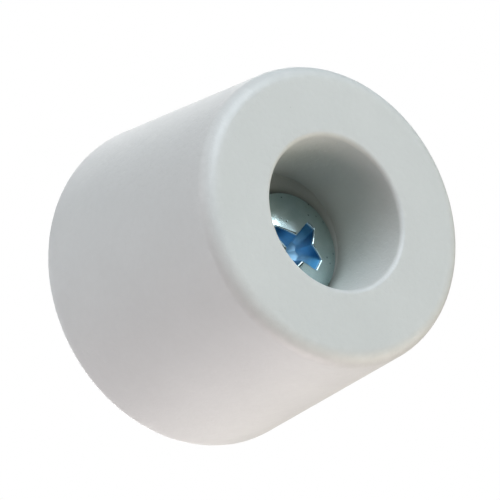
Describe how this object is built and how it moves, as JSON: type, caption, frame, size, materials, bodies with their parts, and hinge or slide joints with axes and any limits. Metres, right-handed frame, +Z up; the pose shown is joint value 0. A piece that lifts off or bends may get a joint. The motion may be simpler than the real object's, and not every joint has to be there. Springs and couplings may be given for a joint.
{
  "type": "wall door stop",
  "caption": "Tapered rubber door stop with a deep screw well, fixed to a wall by a cross-recessed screw in an expansion plug.",
  "frame": {"origin": "the point where the screw's axis meets the wall face", "axes": "+Y into the wall along the screw, -Y out towards the door, +Z up"},
  "size_m": [0.0398, 0.0508, 0.0398],
  "materials": {
    "rubber": "satin, light cool grey",
    "washer_steel": "plain steel",
    "zinc_plated_steel": "bright zinc with a blue tint",
    "nylon": "natural nylon"
  },
  "bodies": {
    "plug": {"wall_plug": "nylon"},
    "stop": {"buffer": "rubber", "reinforcing_washer": "washer_steel"},
    "screw": {"screw": "zinc_plated_steel"}
  },
  "joints": [
    {"name": "stop_travel", "type": "slide", "parent": "plug", "child": "stop", "axis": [0, -1, 0], "range_m": [0, 0.0216]},
    {"name": "screw_turn", "type": "hinge", "parent": "stop", "child": "screw", "pos_m": [0, -0.0192, 0], "axis": [0, -1, 0], "range_deg": [0, 4330]}
  ],
  "couplings": [
    {"joint": "screw_turn", "follows": "stop_travel", "rad_per_m": 3490.7}
  ]
}
